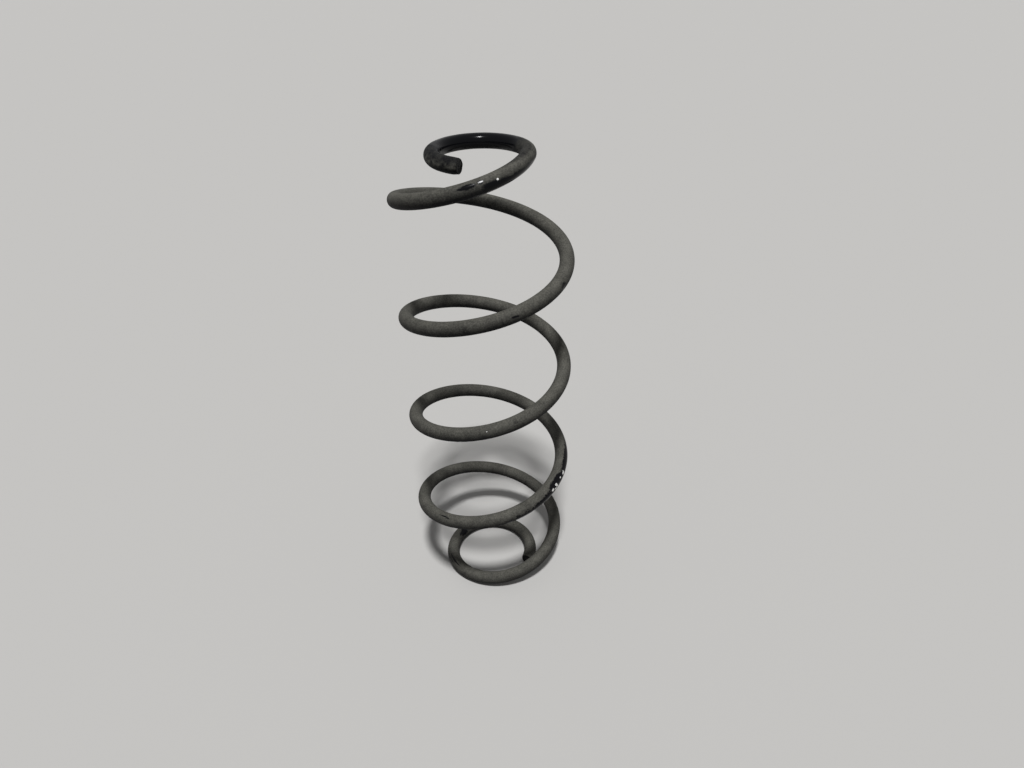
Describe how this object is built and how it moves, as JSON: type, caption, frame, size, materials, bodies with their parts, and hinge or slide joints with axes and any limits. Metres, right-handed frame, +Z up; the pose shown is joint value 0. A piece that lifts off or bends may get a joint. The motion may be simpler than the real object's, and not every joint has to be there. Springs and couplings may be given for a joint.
{
  "type": "suspension coil spring",
  "caption": "Open-wound round-bar compression spring whose turns draw in to a narrow level end turn at the top and the bottom.",
  "frame": {"origin": "on the coil's axis, at the height of the surface that the bottom end turn rests on", "axes": "+Z up along the coil's axis, from the bottom end turn to the top one; +X to the right and -Y to the front, as the picture shows it, so that the bottom end of the bar is cut off on the +X side"},
  "size_m": [0.1508, 0.1508, 0.4293],
  "materials": {
    "painted_bar": "gloss black paint, matt with grey-brown road dust on the upper sides"
  },
  "bodies": {
    "root": {"coil_spring": "painted_bar"}
  },
  "joints": []
}
